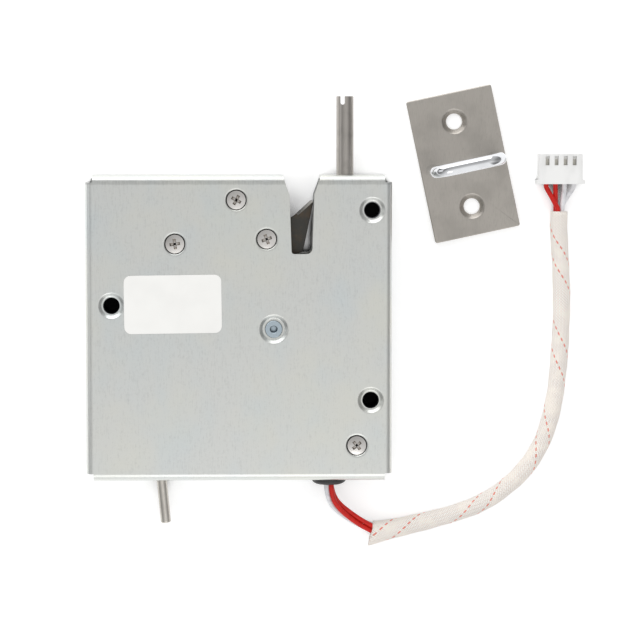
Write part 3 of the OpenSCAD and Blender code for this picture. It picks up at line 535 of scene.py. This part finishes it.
def tube(name, path, radius, sides, material):
    """A closed round tube on a path, with its map: round the tube, then along it in millimetres."""
    frames = bearings(path)
    vertices, faces, uvs = [], [], []
    for point, (_, side, up) in zip(path, frames):
        for k in range(sides):
            a = 2 * math.pi * k / sides
            vertices.append(point + side * (radius * math.cos(a)) + up * (radius * math.sin(a)))
    step = route_length(path) / (len(path) - 1)
    for i in range(len(path) - 1):
        for k in range(sides):
            a, b = i * sides + k, i * sides + (k + 1) % sides
            faces.append((a, a + sides, b + sides, b))
            u0, u1, v0, v1 = k / sides, (k + 1) / sides, i * step, (i + 1) * step
            uvs += [(u0, v0), (u0, v1), (u1, v1), (u1, v0)]
    for end, order in ((0, range(sides)), (len(path) - 1, range(sides - 1, -1, -1))):
        faces.append([end * sides + k for k in order])
        uvs += [(k / sides, end * step) for k in order]
    return make_piece(name, vertices, faces, material, uvs)


def rounded_copy(node, name, material, width, segments=2):
    """A CAD solid's merged copy with rounded edges, which stands for it."""
    source = frame["nodes"][node]
    mesh = source.data.copy()
    mesh.name = name
    work = bmesh.new()
    work.from_mesh(mesh)
    bmesh.ops.remove_doubles(work, verts=work.verts, dist=SAME_PLACE)
    bmesh.ops.dissolve_limit(work, angle_limit=math.radians(FLAT_ANGLE), verts=work.verts,
                             edges=work.edges)
    work.to_mesh(mesh)
    work.free()
    mesh.shade_smooth()
    mesh.set_sharp_from_angle(angle=math.radians(SHARP_ANGLE))
    mesh.materials.clear()
    mesh.materials.append(material)
    piece = link_new(name, mesh)
    bevel = piece.modifiers.new("Rounded edges", "BEVEL")
    bevel.width = width
    bevel.segments = segments
    bevel.limit_method = "ANGLE"
    bevel.angle_limit = math.radians(BEVEL_ANGLE)
    bevel.use_clamp_overlap = True
    even = piece.modifiers.new("Even shading", "WEIGHTED_NORMAL")
    even.keep_sharp = True
    even.weight = 60
    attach(piece, source["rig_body"])
    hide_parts(node)
    return piece


def coat_nodes(material, *nodes):
    """Gives CAD nodes a finish of their own."""
    for node in nodes:
        slots = frame["nodes"][node].material_slots
        for one in slots:
            one.material = material
        if not slots:
            frame["nodes"][node].data.materials.append(material)


# Operators, one for each group of pieces

class LOCK_OT_stage(bpy.types.Operator):
    """Makes the camera, the floor, the lamps and the world"""

    bl_idname = "cabinet_lock.stage"
    bl_label = "Stage"

    def execute(self, context):
        scene = context.scene
        stage = scene.lock_stage
        scene.view_settings.view_transform = "Standard"
        camera = link_new("Camera", bpy.data.cameras.new("Camera"))
        camera.data.lens = stage.lens
        camera.data.sensor_width = 36.0
        camera.data.clip_start, camera.data.clip_end = 0.01, 20.0
        camera.location = Vector(CAMERA_AT) * MM
        back = (camera.location - Vector(CAMERA_AIM) * MM).normalized()
        right = Vector((0.0, 1.0, 0.0)).cross(back).normalized()
        turn = Matrix((right, back.cross(right), back)).transposed()
        camera.rotation_mode = "QUATERNION"
        camera.rotation_quaternion = turn.to_quaternion()
        scene.camera = camera

        for name, place, aim, width, height, power, shade in LAMPS:
            lamp = bpy.data.lights.new(name, "AREA")
            lamp.shape = "RECTANGLE"
            lamp.size, lamp.size_y = width, height
            lamp.energy = power * stage.lamp_level
            lamp.color = shade
            holder = link_new(name, lamp)
            holder.location = place
            holder.rotation_mode = "QUATERNION"
            holder.rotation_quaternion = (Vector(aim) - Vector(place)).to_track_quat("-Z", "Y")

        world = bpy.data.worlds.new("Studio room")
        scene.world = world
        world.use_nodes = True
        room = Recipe(world.node_tree)
        seen, clear, mirrored, soft = room.rays("Camera", "Transmission", "Glossy", "Diffuse")
        x, y = room.parts(room.add("ShaderNodeTexCoord"))[:2]
        sides = abs(x).ramp(0.35, 0.95, 1.0, 0.34)
        upward = y.ramp(-0.40, 0.30, 1.0, stage.upper_dim)
        corner = (x - abs(x + y)).ramp(0.1, 0.6, 1.0, 0.35)
        mirrored = mirrored * sides * upward * corner * (1.0 + x * 0.4)
        level = seen.at_least(clear).at_least(mirrored) + soft * stage.world_level
        room.ends("ShaderNodeOutputWorld", room.add("ShaderNodeBackground", sockets={
            "Color": (1.0, 1.0, 1.0), "Strength": level}))

        paint = Finish("Pale floor")
        seen, mirrored, clear = paint.rays("Camera", "Glossy", "Transmission")
        # Painted contact shadow: ambient occlusion within 14 mm darkens the floor's colour and its lift
        # towards white
        open_air = paint.add("ShaderNodeAmbientOcclusion", {"samples": 16}, {"Distance": 14 * MM}, out=1)
        open_air = open_air.ramp(0.18, 0.46)
        lift = seen.at_least(mirrored).at_least(clear) * stage.floor_lift * open_air
        tone = paint.mix((0.05, 0.05, 0.05), (0.84, 0.84, 0.84), open_air)
        matt = paint.add("ShaderNodeBsdfDiffuse", sockets={"Color": tone})
        glow = paint.add("ShaderNodeEmission", sockets={"Color": (1.0, 1.0, 1.0), "Strength": lift})
        paint.ends("ShaderNodeOutputMaterial", paint.add("ShaderNodeAddShader", sockets={0: matt, 1: glow}))
        mesh = bpy.data.meshes.new("Floor")
        corners = ((-1, -1), (1, -1), (1, 1), (-1, 1))
        mesh.from_pydata([(x * FLOOR_HALF, y * FLOOR_HALF, 0) for x, y in corners], [], [(0, 1, 2, 3)])
        mesh.materials.append(paint.material)
        link_new("Floor", mesh)
        return {"FINISHED"}


class LOCK_OT_lead(bpy.types.Operator):
    """Lays the four wires through the braided sleeve to the connector"""

    bl_idname = "cabinet_lock.lead"
    bl_label = "Lead"

    def execute(self, context):
        size, tone = sizes(), colours()
        sleeve_path = smooth_route(SLEEVE_ROUTE, 1.0)
        sleeve = self.braided_sleeve(sleeve_path, size, tone)
        paints = {"red": insulation("Red insulation", tone.wire_red),
                  "white": insulation("White insulation", tone.wire_white)}
        spine = smooth_route(NEAR_ROUTE + SLEEVE_ROUTE[1:], 0.9)
        frames = bearings(spine)
        for name, angle, terminal in WIRES:
            path = self.wire_path(spine, frames, angle, terminal)
            tint = name.split("_")[0]
            wire = tube("wire_" + name, path, size.wire_d / MM / 2, WIRE_SIDES, paints[tint])
            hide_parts("near_wire_" + name, "far_wire_" + name)
            round(route_length(path), 0) * MM
            [tuple(p * MM) for p in path]
        return {"FINISHED"}

    def wire_path(self, spine, frames, angle, terminal):
        """One wire's line: a quarter turn up to the sleeve, the turn back within it, then its terminal."""
        step = route_length(spine) / (len(spine) - 1)
        straight = (Vector(NEAR_ROUTE[1]) - Vector(NEAR_ROUTE[0])).length
        mouth = route_length(smooth_route(NEAR_ROUTE))
        whole = step * (len(spine) - 1)
        path = []
        for i, (point, (_, side, up)) in enumerate(zip(spine, frames)):
            walked = i * step
            out = min(1.0, max(0.0, (walked - straight) / (mouth - straight)))
            inside = min(1.0, max(0.0, (walked - mouth) / (whole - mouth)))
            inside = inside * inside * (3 - 2 * inside)
            a = math.radians(angle + MOUTH_TURN * out + SLEEVE_TURN * inside)
            path.append(point + side * (BUNDLE_R * math.cos(a)) + up * (BUNDLE_R * math.sin(a)))
        x0, z0 = path[-1].x, path[-1].z
        y0 = SLEEVE_ROUTE[-1][1]
        x1 = PLUG_X + terminal
        tail = [(x0, y0 + 0.8, z0), ((x0 + x1) / 2, y0 + 3.8, (z0 + PLUG_Z) / 2)]
        tail += [(x1, PLUG_Y + past, PLUG_Z) for past in (-1.0, 0.0, 2.0)]
        joined = smooth_route([path[-2], path[-1]] + tail, 0.5)
        return path[:-1] + joined[2:]

    def braided_sleeve(self, path, size, tone):
        """The sleeve as a hollow woven tube with a flared, slanted cut at its start."""
        sides = SLEEVE_SIDES
        outer = size.sleeve_d / MM / 2 - 0.13
        wall = size.sleeve_wall / MM
        flare, slant = size.mouth_flare / MM, size.mouth_slant / MM
        frames = bearings(path)
        step = route_length(path) / (len(path) - 1)
        rings = []
        for inset in (0.0, wall):
            for i, (point, (head, side, up)) in enumerate(zip(path, frames)):
                walked = i * step
                open_end = math.exp(-walked / 7.0)
                frayed = math.exp(-walked / 3.0)
                ring = []
                for k in range(sides):
                    a = 2 * math.pi * k / sides
                    waver = 0.05 * math.sin(3 * a + walked * 0.9) + 0.04 * math.sin(2 * a - walked * 0.37)
                    wide = outer + flare * open_end - inset + waver
                    tall = outer - 0.12 * open_end - inset + waver * 0.4
                    outside = 0.5 + 0.5 * math.cos(a)
                    back = head * (frayed * (0.9 - slant * outside + 0.07 * math.sin(7 * a)))
                    ring.append(point + side * (wide * math.cos(a)) + up * (tall * math.sin(a)) + back)
                rings.append(ring)
        count = len(path)
        order = list(range(count)) + list(range(2 * count - 1, count - 1, -1))
        vertices = [v for ring in rings for v in ring]
        faces, uvs = [], []
        for i in range(2 * count):
            one, two = order[i], order[(i + 1) % (2 * count)]
            v0, v1 = (one % count) * step, (two % count) * step
            for k in range(sides):
                j = (k + 1) % sides
                faces.append((one * sides + k, two * sides + k, two * sides + j, one * sides + j))
                u0, u1 = k / sides, (k + 1) / sides
                uvs += [(u0, v0), (u0, v1), (u1, v1), (u1, v0)]
        woven = braid("Glass-fibre braid", tone.sleeve, tone.tracer, size.yarns, size.braid_turn / MM)
        piece = make_piece("braided_sleeve", vertices, faces, woven, uvs)
        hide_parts("sleeve")
        return piece


class LOCK_OT_case(bpy.types.Operator):
    """Finishes the folded cover, the base plate, the pillars and the label"""

    bl_idname = "cabinet_lock.case"
    bl_label = "Case"

    def execute(self, context):
        size, tone = sizes(), colours()
        sheet = plated_sheet("Zinc plated sheet", tone.zinc, shade_line_y=COVER_SHADE_LINE_Y)
        rounded_copy("cover", "cover_sheet", sheet, size.edge_round)
        back = plated_sheet("Zinc plated base", tuple(c * 0.94 for c in tone.zinc), 0.8, 0.38)
        rounded_copy("base_plate", "back_plate", back, size.edge_round)
        dark = plating("Threaded pillar", (0.022, 0.023, 0.026), 0.5, 0.4, 0.02)
        pale = plating("Pale pillar", (0.20, 0.20, 0.22), 0.5, 0.4, 0.02)
        coat_nodes(pale, "pillar_top_right")
        coat_nodes(dark, "pillar_left", "pillar_lower_right")
        blue = plated_sheet("Blue zinc post", (0.48, 0.56, 0.62), 0.5, 0.22)
        rounded_copy("post_pawl", "pawl_post_end", blue, size.edge_round)
        coat_nodes(plating("Post steel", (0.50, 0.50, 0.49), 0.30), "post_claw", "post_top", "post_left",
                   "post_lower_right")
        rounded_copy("label", "bare_label", paper("Label paper", (0.93, 0.925, 0.90)), 0.03 * MM)
        self.grommet(moulded("Black rubber", (0.018, 0.018, 0.019), 0.5))
        return {"FINISHED"}

    def grommet(self, rubber):
        """The domed rubber grommet, turned about the lead."""
        low, high = (Vector(c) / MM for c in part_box("grommet"))
        middle = (low + high) / 2
        wide, wall = (high.x - low.x) / 2, low.y + GROMMET_DOME
        profile = [(GROMMET_BORE_R, high.y), (GROMMET_NECK_R, high.y), (GROMMET_NECK_R, wall), (wide, wall)]
        for k in range(1, 10):
            a = math.radians(k * 10)
            reach = GROMMET_BORE_R + (wide - GROMMET_BORE_R) * math.cos(a) ** 0.8
            profile.append((reach, wall - GROMMET_DOME * math.sin(a)))
        profile.append((GROMMET_BORE_R, low.y + 0.2))
        sides = GROMMET_SIDES
        angles = [2 * math.pi * k / sides for k in range(sides)]
        vertices = [(middle.x + r * math.cos(a), y, middle.z + r * math.sin(a))
                    for r, y in profile for a in angles]
        faces = []
        for i in range(len(profile)):
            one, two = i * sides, (i + 1) % len(profile) * sides
            for k in range(sides):
                j = (k + 1) % sides
                faces.append((one + k, two + k, two + j, one + j))
        piece = make_piece("rubber_grommet", vertices, faces, rubber)
        piece.data.set_sharp_from_angle(angle=math.radians(40))
        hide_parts("grommet")


class LOCK_OT_screws(bpy.types.Operator):
    """Makes the cross-recessed cover screws with geometry nodes"""

    bl_idname = "cabinet_lock.screws"
    bl_label = "Cover screws"

    def execute(self, context):
        size = sizes()
        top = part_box("cover_screws")[1][2] + 0.7 * size.screw_dome
        mesh = bpy.data.meshes.new("screw places")
        mesh.from_pydata([(x * MM, y * MM, top) for (x, y), _ in SCREWS], [], [])
        turn = mesh.attributes.new("turn", "FLOAT", "POINT")
        turn.data.foreach_set("value", [math.radians(a) for _, a in SCREWS])
        carrier = link_new("screw places", mesh)
        # The screws' cross recesses get painted shade in this warm dark grey
        nickel = plating("Nickel screw", (0.70, 0.68, 0.655), 0.24, 0.35, 0.012, recess_shade=(0.27, 0.235, 0.20))
        modifier = carrier.modifiers.new("Screws", "NODES")
        modifier.node_group = self.screw_tree(nickel)
        given = {"Head radius": size.screw_head_r, "Head height": size.screw_head_h,
                 "Dome": size.screw_dome}
        for item in modifier.node_group.interface.items_tree:
            if item.item_type == "SOCKET" and item.in_out == "INPUT" and item.name in given:
                modifier[item.identifier] = given[item.name]
        context.view_layer.update()
        graph = context.evaluated_depsgraph_get()
        made = bpy.data.meshes.new_from_object(
            carrier.evaluated_get(graph), preserve_all_data_layers=True, depsgraph=graph)
        bpy.data.objects.remove(carrier)
        if not made.polygons:
            raise RuntimeError("the screws came out empty")
        made.name = "cross_recess_screws"
        made.shade_smooth()
        made.set_sharp_from_angle(angle=math.radians(34))
        if not made.materials:
            made.materials.append(nickel)
        piece = link_new("cross_recess_screws", made)
        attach(piece, "case")
        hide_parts("cover_screws")
        return {"FINISHED"}

    def screw_tree(self, nickel):
        """One domed countersunk head with a cross recess and its shank, set on each point."""
        tree = bpy.data.node_groups.new("Cross-recessed screws", "GeometryNodeTree")
        face = tree.interface
        face.new_socket(name="Geometry", in_out="INPUT", socket_type="NodeSocketGeometry")
        for name, default in (("Head radius", 2.74 * MM), ("Head height", 1.5 * MM), ("Dome", 0.3 * MM),
                              ("Recess reach", 1.8 * MM), ("Recess depth", 0.62 * MM),
                              ("Shank radius", 1.4 * MM), ("Shank length", 6.0 * MM)):
            number = face.new_socket(name=name, in_out="INPUT", socket_type="NodeSocketFloat")
            number.default_value = default
        face.new_socket(name="Geometry", in_out="OUTPUT", socket_type="NodeSocketGeometry")
        nodes, links = tree.nodes, tree.links
        given = nodes.new("NodeGroupInput").outputs

        def put(kind, settings=None, sockets=None, out=0):
            node = nodes.new(kind)
            for key, value in (settings or {}).items():
                setattr(node, key, value)
            for key, value in (sockets or {}).items():
                if isinstance(value, bpy.types.NodeSocket):
                    links.new(value, node.inputs[key])
                else:
                    node.inputs[key].default_value = value
            return node.outputs[out]

        def calc(operation, first, second=0.0):
            return put("ShaderNodeMath", {"operation": operation}, {0: first, 1: second})

        def vector(x=0.0, y=0.0, z=0.0):
            return put("ShaderNodeCombineXYZ", None, {0: x, 1: y, 2: z})

        def large(name):
            return calc("MULTIPLY", given[name], 1.0 / MM)

        radius, height, dome = large("Head radius"), large("Head height"), large("Dome")
        reach, deep, shank_l = large("Recess reach"), large("Recess depth"), large("Shank length")
        cone = put("GeometryNodeMeshCone", {"fill_type": "NGON"}, {
            "Vertices": 48, "Radius Top": radius, "Radius Bottom": calc("MULTIPLY", radius, 0.62),
            "Depth": height})
        cone = put("GeometryNodeTransform", None, {
            "Geometry": cone, "Translation": vector(z=calc("MULTIPLY", height, -1.0))})
        ball_r = calc("ADD", calc("DIVIDE", calc("MULTIPLY", radius, radius), calc("MULTIPLY", dome, 2.0)),
                      calc("MULTIPLY", dome, 0.5))
        ball = put("GeometryNodeMeshUVSphere", None, {"Segments": 96, "Rings": 160, "Radius": ball_r})
        ball = put("GeometryNodeTransform", None, {
            "Geometry": ball, "Translation": vector(z=calc("MULTIPLY", ball_r, -1.0))})
        head = put("GeometryNodeMeshBoolean", {"operation": "INTERSECT"}, {1: cone})
        links.new(ball, nodes[-1].inputs[1])
        arm = put("GeometryNodeMeshCone", {"fill_type": "NGON"}, {
            "Vertices": 4, "Radius Top": calc("MULTIPLY", reach, 1.414),
            "Radius Bottom": calc("MULTIPLY", reach, 0.9), "Depth": calc("MULTIPLY", deep, 2.0)})
        arm = put("GeometryNodeTransform", None, {
            "Geometry": arm, "Translation": vector(z=calc("MULTIPLY", deep, -1.0)),
            "Rotation": (0.0, 0.0, math.pi / 4)})
        arm = put("GeometryNodeTransform", None, {"Geometry": arm, "Scale": (1.0, 0.29, 1.0)})
        other = put("GeometryNodeTransform", None, {"Geometry": arm, "Rotation": (0.0, 0.0, math.pi / 2)})
        cut = put("GeometryNodeMeshBoolean", {"operation": "DIFFERENCE"}, {0: head, 1: arm})
        links.new(other, nodes[-1].inputs[1])
        shank = put("GeometryNodeMeshCylinder", {"fill_type": "NGON"}, {
            "Vertices": 24, "Radius": large("Shank radius"), "Depth": shank_l})
        shank = put("GeometryNodeTransform", None, {
            "Geometry": shank, "Translation": vector(z=calc("SUBTRACT", calc("MULTIPLY", height, -1.3),
                                                            calc("MULTIPLY", shank_l, 0.5)))})
        whole = put("GeometryNodeJoinGeometry", None, {0: cut})
        links.new(shank, nodes[-1].inputs[0])
        turned = put("GeometryNodeInputNamedAttribute", {"data_type": "FLOAT"}, {0: "turn"})
        points = put("GeometryNodeMeshToPoints", None, {"Mesh": given["Geometry"]})
        placed = put("GeometryNodeInstanceOnPoints", None, {
            "Points": points, "Instance": whole, "Rotation": vector(z=turned), "Scale": (MM, MM, MM)})
        real = put("GeometryNodeRealizeInstances", None, {0: placed})
        painted = put("GeometryNodeSetMaterial", None, {"Geometry": real, "Material": nickel})
        links.new(painted, nodes.new("NodeGroupOutput").inputs[0])
        return tree


class LOCK_OT_latch(bpy.types.Operator):
    """Finishes the claw, the pawl, the release rod and their springs"""

    bl_idname = "cabinet_lock.latch"
    bl_label = "Latch"

    def execute(self, context):
        size, tone = sizes(), colours()
        claw = rounded_copy("claw", "hardened_claw", black_oxide("Hardened claw steel", tone.claw),
                            0.12 * MM)
        claw.data.materials.append(bare_steel("Ground claw edge", (0.34, 0.33, 0.31), 0.5))
        low, high = GROUND_EDGE_SLOPE
        for face in claw.data.polygons:
            face.material_index = 1 if low < face.normal.z < high else 0
        rounded_copy("pawl", "strut_pawl", plated_sheet("Zinc plated pawl", (0.5, 0.5, 0.48), 0.6, 0.4),
                     size.edge_round)
        rounded_copy("release_rod", "release_rod_wire", bare_steel(
            "Release rod steel", (0.63, 0.60, 0.55), 0.34, (1.0, 0.08, 1.0)), 0.2 * MM)
        coat_nodes(bare_steel("Spring wire", (0.40, 0.39, 0.37), 0.28), "claw_spring", "pawl_spring",
                   "push_rod_spring")
        return {"FINISHED"}


class LOCK_OT_ejector(bpy.types.Operator):
    """Finishes the push rod, its clip, guide and rivets"""

    bl_idname = "cabinet_lock.ejector"
    bl_label = "Ejector"

    def execute(self, context):
        rod = bare_steel("Push rod steel", (0.44, 0.415, 0.385), 0.30, (1.0, 0.06, 1.0), 0.012, 0.5)
        rounded_copy("push_rod", "ejector_rod", rod, 0.22 * MM, segments=3)
        coat_nodes(plating("Clip steel", (0.30, 0.30, 0.31), 0.3), "push_rod_clip")
        coat_nodes(plated_sheet("Guide plate", (0.5, 0.51, 0.5), 0.7, 0.4), "rod_guide")
        coat_nodes(plating("Rivet steel", (0.5, 0.5, 0.49), 0.3), "bracket_rivets")
        return {"FINISHED"}


class LOCK_OT_drive(bpy.types.Operator):
    """Finishes the solenoid and the switch inside the case"""

    bl_idname = "cabinet_lock.drive"
    bl_label = "Solenoid and switch"

    def execute(self, context):
        coat_nodes(plated_sheet("Solenoid frame zinc", (0.52, 0.53, 0.50), 0.8, 0.42), "solenoid_frame")
        coat_nodes(bare_steel("Core iron", (0.42, 0.41, 0.40), 0.4), "solenoid_core")
        coat_nodes(moulded("Bobbin nylon", (0.62, 0.60, 0.55), 0.5), "bobbin")
        coat_nodes(wound_wire("Enamelled copper", (0.62, 0.24, 0.10)), "winding")
        coat_nodes(plating("Plunger nickel", (0.60, 0.59, 0.57), 0.26), "plunger", "plunger_pin")
        coat_nodes(moulded("Switch case", (0.022, 0.022, 0.024), 0.42), "switch_body")
        coat_nodes(plating("Terminal brass", (0.70, 0.56, 0.32), 0.3), "switch_terminals")
        coat_nodes(moulded("Switch button", (0.52, 0.03, 0.025), 0.4), "switch_button")
        coat_nodes(bare_steel("Switch lever", (0.60, 0.60, 0.59), 0.3), "switch_lever")
        coat_nodes(plating("Switch screws zinc", (0.55, 0.56, 0.55), 0.28), "switch_screws")
        return {"FINISHED"}


class LOCK_OT_connector(bpy.types.Operator):
    """Finishes the four-way connector and its terminals"""

    bl_idname = "cabinet_lock.connector"
    bl_label = "Connector"

    def execute(self, context):
        nylon = moulded("Connector nylon", colours().nylon, 0.42, 0.3, 0.008)
        coat_nodes(nylon, "connector")
        coat_nodes(plating("Tinned terminal", (0.62, 0.60, 0.54), 0.3), "connector_terminals")
        return {"FINISHED"}


class LOCK_OT_strike(bpy.types.Operator):
    """Finishes the strike plate and its loop"""

    bl_idname = "cabinet_lock.strike"
    bl_label = "Strike"

    def execute(self, context):
        satin = plating("Satin nickel", (0.50, 0.47, 0.43), 0.34, 0.5, 0.012, satin=0.55)
        rounded_copy("strike_plate", "strike_base", satin, 0.2 * MM)
        chrome = plating("Bright chrome", (0.74, 0.75, 0.77), 0.08, 1.2, 0.004)
        rounded_copy("strike_loop", "strike_bow", chrome, 0.15 * MM)
        return {"FINISHED"}


class LOCK_PT_panel(bpy.types.Panel):
    """Sizes, colours and the steps that dress the lock"""

    bl_label = "Cabinet Lock"
    bl_idname = "LOCK_PT_panel"
    bl_space_type = "VIEW_3D"
    bl_region_type = "UI"
    bl_category = "Cabinet Lock"

    def draw(self, context):
        layout = self.layout
        for group in (context.scene.lock_sizes, context.scene.lock_colours, context.scene.lock_stage):
            box = layout.box()
            for name in group.__annotations__:
                box.prop(group, name)
        for operator in STEPS:
            layout.operator(operator.bl_idname)


STEPS = (LOCK_OT_stage, LOCK_OT_lead, LOCK_OT_case, LOCK_OT_screws, LOCK_OT_latch, LOCK_OT_ejector,
         LOCK_OT_drive, LOCK_OT_connector, LOCK_OT_strike)
GROUPS = {"lock_sizes": LockSizes, "lock_colours": LockColours, "lock_stage": LockStage}


def register():
    for one in (*GROUPS.values(), *STEPS, LOCK_PT_panel):
        bpy.utils.register_class(one)
    for name, group in GROUPS.items():
        setattr(bpy.types.Scene, name, PointerProperty(type=group))


def unregister():
    for name in GROUPS:
        delattr(bpy.types.Scene, name)
    for one in reversed((*GROUPS.values(), *STEPS, LOCK_PT_panel)):
        bpy.utils.unregister_class(one)


def main():
    """Dresses the lock step by step."""
    register()
    for step in STEPS:
        family, name = step.bl_idname.split(".")
        getattr(getattr(bpy.ops, family), name)()
    bpy.context.view_layer.update()


if __name__ == "__main__":
    main()
